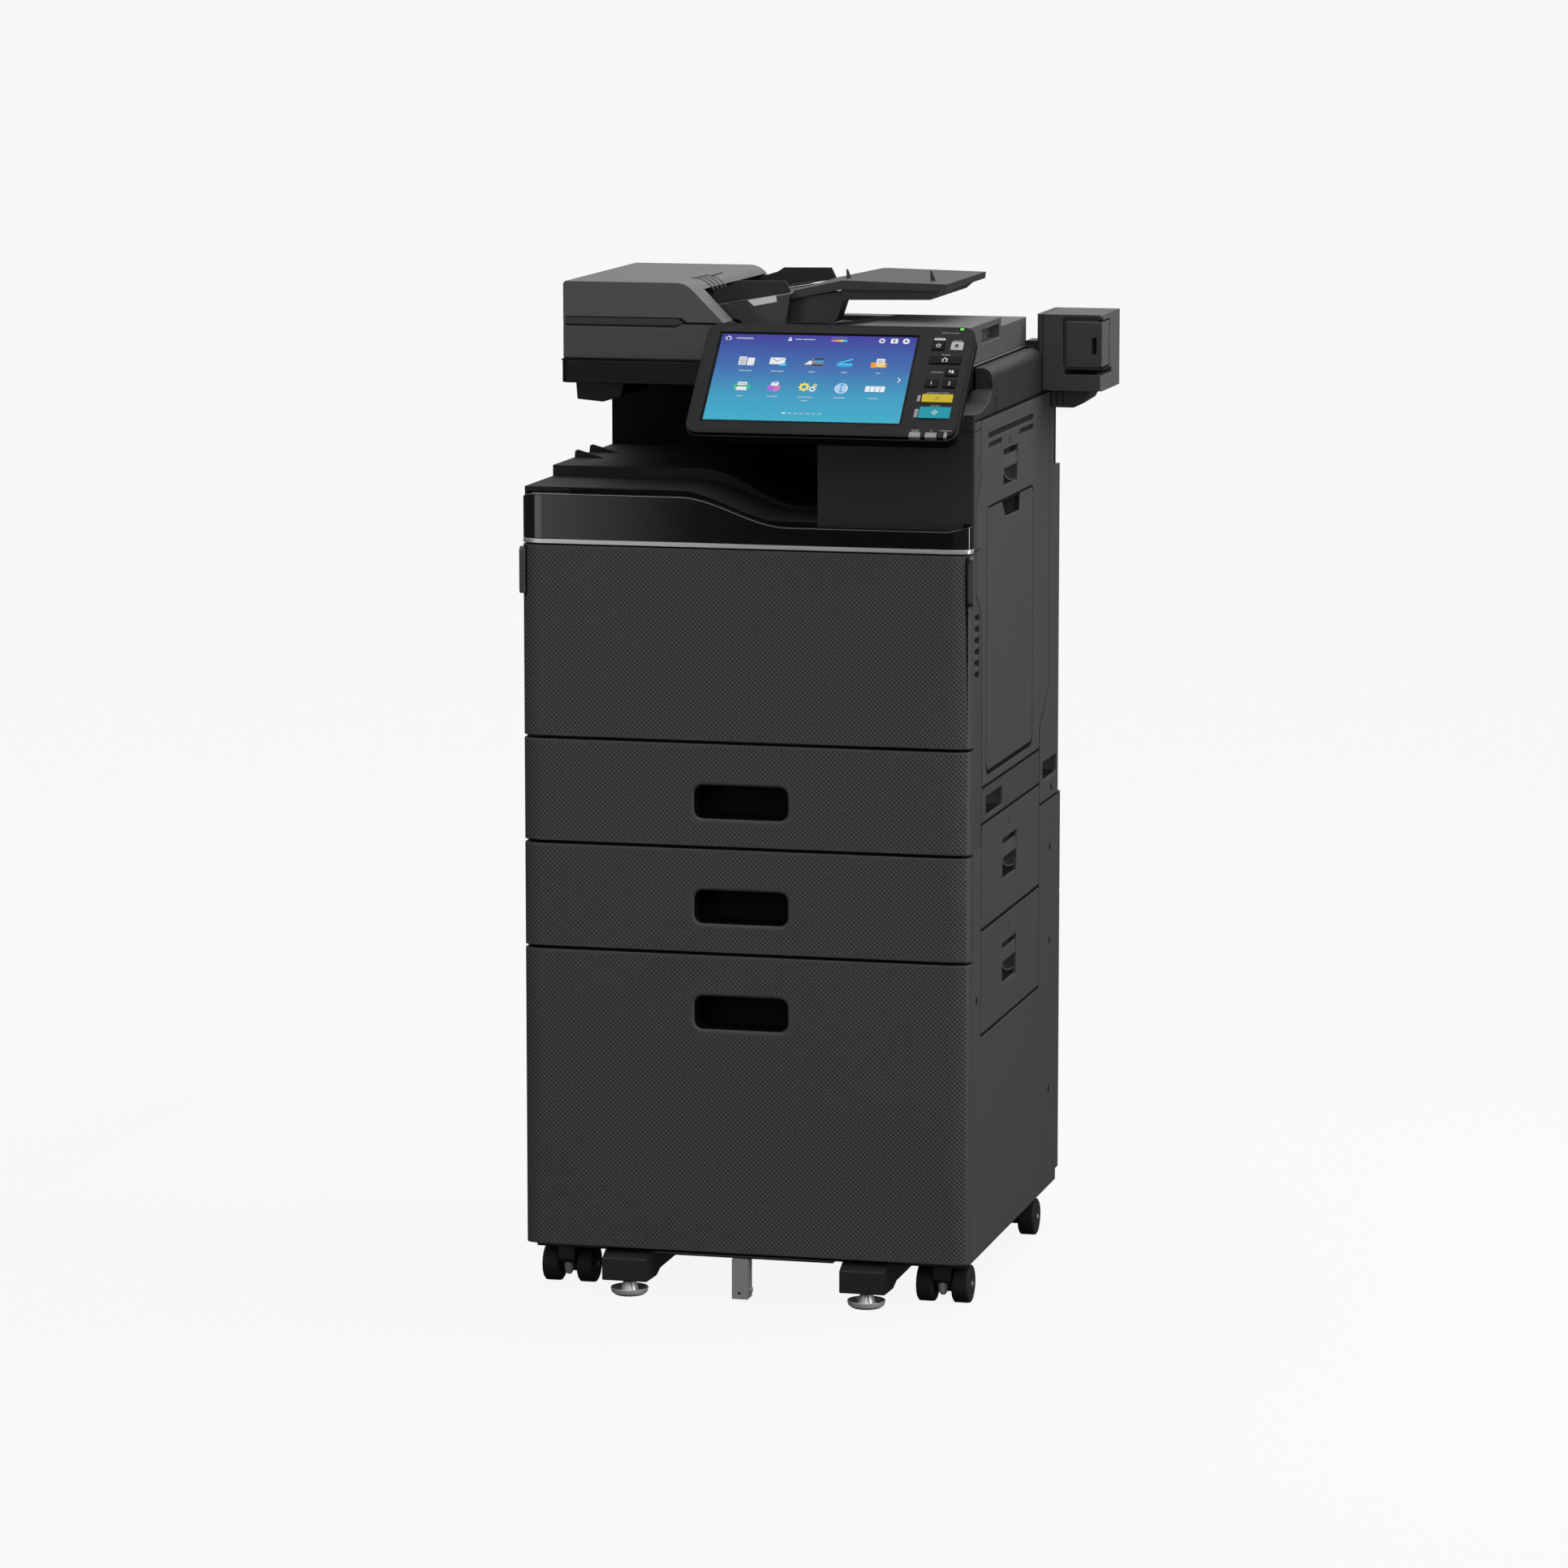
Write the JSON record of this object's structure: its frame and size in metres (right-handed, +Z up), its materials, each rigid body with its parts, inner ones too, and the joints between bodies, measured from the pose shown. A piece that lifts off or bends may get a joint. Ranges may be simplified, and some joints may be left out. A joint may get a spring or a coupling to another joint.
{
  "type": "photocopier",
  "caption": "Floor-standing office photocopier with paper drawers, document feeder, tilting touch panel, bypass tray and side stapler, on casters and levelling feet.",
  "frame": {"origin": "on the floor, in the middle of the footprint box of the whole machine", "axes": "+Z up, -Y out of the front where the drawers open, +X towards the side door and stapler"},
  "size_m": [0.67, 0.6922, 1.311],
  "materials": {
    "black_steel": "satin",
    "bracket_steel": "satin",
    "cabinet_cover": "matte",
    "side_cover": "matte",
    "tower_plastic": "matte",
    "gloss_black": "gloss",
    "silver_trim": "satin",
    "toner_body": "matte",
    "drum_coating": "gloss",
    "scanner_black": "matte",
    "platen_glass": "polished",
    "carriage_metal": "satin",
    "stapler_cover": "matte",
    "front_charcoal": "matte, fine embossed texture",
    "tray_plastic": "matte",
    "zinc_plate": "satin",
    "latch_plastic": "matte",
    "feeder_grey": "matte",
    "input_tray_black": "matte",
    "roller_rubber": "matte",
    "panel_black": "matte",
    "screen_glass": "gloss",
    "key_black": "matte",
    "key_grey": "matte",
    "key_yellow": "matte",
    "key_teal": "matte",
    "foot_chrome": "polished",
    "caster_plastic": "matte",
    "wheel_rubber": "matte"
  },
  "bodies": {
    "root": {"base_frame": "black_steel", "stabiliser_bracket": "bracket_steel", "pedestal_cabinet": "cabinet_cover", "paper_feed_module": "cabinet_cover", "engine_frame": "cabinet_cover", "tower_cover": "tower_plastic", "rear_cover": "cabinet_cover", "right_front_cover": "side_cover", "right_rear_cover": "side_cover", "gloss_fascia": "gloss_black", "silver_trim": "silver_trim", "output_tray": "tower_plastic", "toner_cartridge": "toner_body", "scanner_housing": "scanner_black", "platen_glass": "platen_glass", "stapler_housing": "stapler_cover"},
    "levelling_foot_left": {"levelling_foot_left": "foot_chrome"},
    "levelling_foot_right": {"levelling_foot_right": "foot_chrome"},
    "caster_front_left": {"caster_fork_front_left": "caster_plastic"},
    "caster_front_left_wheels": {"caster_wheels_front_left": "wheel_rubber"},
    "caster_front_right": {"caster_fork_front_right": "caster_plastic"},
    "caster_front_right_wheels": {"caster_wheels_front_right": "wheel_rubber"},
    "caster_rear_left": {"caster_fork_rear_left": "caster_plastic"},
    "caster_rear_left_wheels": {"caster_wheels_rear_left": "wheel_rubber"},
    "caster_rear_right": {"caster_fork_rear_right": "caster_plastic"},
    "caster_rear_right_wheels": {"caster_wheels_rear_right": "wheel_rubber"},
    "upper_drawer": {"upper_drawer_front": "front_charcoal", "upper_drawer_tray": "tray_plastic"},
    "lower_drawer": {"lower_drawer_front": "front_charcoal", "lower_drawer_tray": "tray_plastic"},
    "feeder_drawer": {"feeder_drawer_front": "front_charcoal", "feeder_drawer_bin": "tray_plastic"},
    "lift_plate": {"lift_plate": "zinc_plate"},
    "front_cover": {"front_cover": "front_charcoal"},
    "drum": {"photoconductor_drum": "drum_coating"},
    "side_door": {"side_door": "side_cover"},
    "side_door_latch": {"side_door_latch": "latch_plastic"},
    "bypass_tray": {"bypass_tray": "side_cover"},
    "upper_access_door": {"upper_access_door": "side_cover"},
    "upper_access_latch": {"upper_access_latch": "latch_plastic"},
    "lower_access_door": {"lower_access_door": "side_cover"},
    "lower_access_latch": {"lower_access_latch": "latch_plastic"},
    "scan_carriage": {"scan_carriage": "carriage_metal"},
    "document_feeder": {"feeder_base": "feeder_grey"},
    "feeder_cover": {"feeder_top_cover": "feeder_grey"},
    "feed_roller": {"feed_roller": "roller_rubber"},
    "input_tray": {"feeder_input_tray": "input_tray_black"},
    "guide_front": {"guide_front": "input_tray_black"},
    "guide_rear": {"guide_rear": "input_tray_black"},
    "control_panel": {"panel_housing": "panel_black", "touch_screen": "screen_glass"},
    "key_power": {"key_power": "key_black"},
    "key_energy_saver": {"key_energy_saver": "key_grey"},
    "key_home": {"key_home": "key_black"},
    "key_access": {"key_access": "key_black"},
    "key_one": {"key_one": "key_black"},
    "key_two": {"key_two": "key_black"},
    "key_clear": {"key_clear": "key_yellow"},
    "key_start": {"key_start": "key_teal"},
    "stapler_door": {"stapler_door": "stapler_cover"}
  },
  "joints": [
    {"name": "levelling_foot_left_turn", "type": "hinge", "parent": "root", "child": "levelling_foot_left", "pos_m": [-0.194, -0.21344, 0.02], "axis": [0, 0, 1], "continuous": true},
    {"name": "levelling_foot_right_turn", "type": "hinge", "parent": "root", "child": "levelling_foot_right", "pos_m": [0.12, -0.21344, 0.02], "axis": [0, 0, 1], "continuous": true},
    {"name": "caster_front_left_swivel", "type": "hinge", "parent": "root", "child": "caster_front_left", "pos_m": [-0.286, -0.17444, 0.04], "axis": [0, 0, 1], "continuous": true},
    {"name": "caster_front_left_roll", "type": "hinge", "parent": "caster_front_left", "child": "caster_front_left_wheels", "pos_m": [-0.286, -0.15945, 0.025], "axis": [1, 0, 0], "continuous": true},
    {"name": "caster_front_right_swivel", "type": "hinge", "parent": "root", "child": "caster_front_right", "pos_m": [0.212, -0.17444, 0.04], "axis": [0, 0, 1], "continuous": true},
    {"name": "caster_front_right_roll", "type": "hinge", "parent": "caster_front_right", "child": "caster_front_right_wheels", "pos_m": [0.212, -0.15945, 0.025], "axis": [1, 0, 0], "continuous": true},
    {"name": "caster_rear_left_swivel", "type": "hinge", "parent": "root", "child": "caster_rear_left", "pos_m": [-0.286, 0.26905, 0.04], "axis": [0, 0, 1], "continuous": true},
    {"name": "caster_rear_left_roll", "type": "hinge", "parent": "caster_rear_left", "child": "caster_rear_left_wheels", "pos_m": [-0.286, 0.25405, 0.025], "axis": [1, 0, 0], "continuous": true},
    {"name": "caster_rear_right_swivel", "type": "hinge", "parent": "root", "child": "caster_rear_right", "pos_m": [0.212, 0.26905, 0.04], "axis": [0, 0, 1], "continuous": true},
    {"name": "caster_rear_right_roll", "type": "hinge", "parent": "caster_rear_right", "child": "caster_rear_right_wheels", "pos_m": [0.212, 0.25405, 0.025], "axis": [1, 0, 0], "continuous": true},
    {"name": "upper_drawer_slide", "type": "slide", "parent": "root", "child": "upper_drawer", "axis": [0, -1, 0], "range_m": [0, 0.4]},
    {"name": "lower_drawer_slide", "type": "slide", "parent": "root", "child": "lower_drawer", "axis": [0, -1, 0], "range_m": [0, 0.4]},
    {"name": "feeder_drawer_slide", "type": "slide", "parent": "root", "child": "feeder_drawer", "axis": [0, -1, 0], "range_m": [0, 0.42]},
    {"name": "lift_plate_rise", "type": "slide", "parent": "feeder_drawer", "child": "lift_plate", "axis": [0, 0, 1], "range_m": [0, 0.3]},
    {"name": "front_cover_hinge", "type": "hinge", "parent": "root", "child": "front_cover", "pos_m": [-0.037, -0.22645, 0.7285], "axis": [1, 0, 0], "range_deg": [0, 85]},
    {"name": "drum_spin", "type": "hinge", "parent": "root", "child": "drum", "pos_m": [0.023, 0.02056, 0.85], "axis": [0, 1, 0], "continuous": true},
    {"name": "side_door_hinge", "type": "hinge", "parent": "root", "child": "side_door", "pos_m": [0.252, 0.05056, 0.6735], "axis": [0, 1, 0], "range_deg": [0, 40]},
    {"name": "side_door_latch_pull", "type": "hinge", "parent": "side_door", "child": "side_door_latch", "pos_m": [0.253, 0.01256, 1.0835], "axis": [0, -1, 0], "range_deg": [0, 25], "stiffness_Nm_per_rad": 0.05},
    {"name": "bypass_tray_hinge", "type": "hinge", "parent": "side_door", "child": "bypass_tray", "pos_m": [0.253, 0.01355, 0.687], "axis": [0, 1, 0], "range_deg": [0, 75]},
    {"name": "upper_access_door_hinge", "type": "hinge", "parent": "root", "child": "upper_access_door", "pos_m": [0.2525, 0.02556, 0.4895], "axis": [0, 1, 0], "range_deg": [0, 70]},
    {"name": "upper_access_latch_pull", "type": "hinge", "parent": "upper_access_door", "child": "upper_access_latch", "pos_m": [0.253, 0.01806, 0.58], "axis": [0, -1, 0], "range_deg": [0, 25], "stiffness_Nm_per_rad": 0.05},
    {"name": "lower_access_door_hinge", "type": "hinge", "parent": "root", "child": "lower_access_door", "pos_m": [0.2525, 0.02556, 0.353], "axis": [0, 1, 0], "range_deg": [0, 70]},
    {"name": "lower_access_latch_pull", "type": "hinge", "parent": "lower_access_door", "child": "lower_access_latch", "pos_m": [0.253, 0.01806, 0.443], "axis": [0, -1, 0], "range_deg": [0, 25], "stiffness_Nm_per_rad": 0.05},
    {"name": "scan_carriage_slide", "type": "slide", "parent": "root", "child": "scan_carriage", "axis": [1, 0, 0], "range_m": [0, 0.44]},
    {"name": "document_feeder_hinge", "type": "hinge", "parent": "root", "child": "document_feeder", "pos_m": [-0.037, 0.23056, 1.2035], "axis": [-1, 0, 0], "range_deg": [0, 60]},
    {"name": "feeder_cover_hinge", "type": "hinge", "parent": "document_feeder", "child": "feeder_cover", "pos_m": [-0.301, 0.05505, 1.2515], "axis": [0, -1, 0], "range_deg": [0, 70]},
    {"name": "feed_roller_spin", "type": "hinge", "parent": "feeder_cover", "child": "feed_roller", "pos_m": [-0.174, 0.07555, 1.264], "axis": [0, 1, 0], "continuous": true},
    {"name": "input_tray_hinge", "type": "hinge", "parent": "document_feeder", "child": "input_tray", "pos_m": [-0.107, 0.07505, 1.258], "axis": [0, -1, 0], "range_deg": [0, 20]},
    {"name": "guide_front_slide", "type": "slide", "parent": "input_tray", "child": "guide_front", "axis": [0, 1, 0], "range_m": [0, 0.085]},
    {"name": "guide_rear_slide", "type": "slide", "parent": "input_tray", "child": "guide_rear", "axis": [0, -1, 0], "range_m": [0, 0.085]},
    {"name": "control_panel_hinge", "type": "hinge", "parent": "root", "child": "control_panel", "pos_m": [0.083, -0.21689, 1.21013], "axis": [1, 0, 0], "range_deg": [-30, 36]},
    {"name": "key_power_press", "type": "slide", "parent": "control_panel", "child": "key_power", "axis": [0, 0.6934, -0.7206], "range_m": [0, 0.0015], "stiffness_N_per_m": 150},
    {"name": "key_energy_saver_press", "type": "slide", "parent": "control_panel", "child": "key_energy_saver", "axis": [0, 0.6934, -0.7206], "range_m": [0, 0.0015], "stiffness_N_per_m": 150},
    {"name": "key_home_press", "type": "slide", "parent": "control_panel", "child": "key_home", "axis": [0, 0.6934, -0.7206], "range_m": [0, 0.0015], "stiffness_N_per_m": 150},
    {"name": "key_access_press", "type": "slide", "parent": "control_panel", "child": "key_access", "axis": [0, 0.6934, -0.7206], "range_m": [0, 0.0015], "stiffness_N_per_m": 150},
    {"name": "key_one_press", "type": "slide", "parent": "control_panel", "child": "key_one", "axis": [0, 0.6934, -0.7206], "range_m": [0, 0.0015], "stiffness_N_per_m": 150},
    {"name": "key_two_press", "type": "slide", "parent": "control_panel", "child": "key_two", "axis": [0, 0.6934, -0.7206], "range_m": [0, 0.0015], "stiffness_N_per_m": 150},
    {"name": "key_clear_press", "type": "slide", "parent": "control_panel", "child": "key_clear", "axis": [0, 0.6934, -0.7206], "range_m": [0, 0.0015], "stiffness_N_per_m": 150},
    {"name": "key_start_press", "type": "slide", "parent": "control_panel", "child": "key_start", "axis": [0, 0.6934, -0.7206], "range_m": [0, 0.0015], "stiffness_N_per_m": 150},
    {"name": "stapler_door_hinge", "type": "hinge", "parent": "root", "child": "stapler_door", "pos_m": [0.2885, 0.21305, 1.2], "axis": [0, 0, -1], "range_deg": [0, 85]}
  ],
  "couplings": [
    {"joint": "guide_rear_slide", "follows": "guide_front_slide", "ratio": 1}
  ]
}
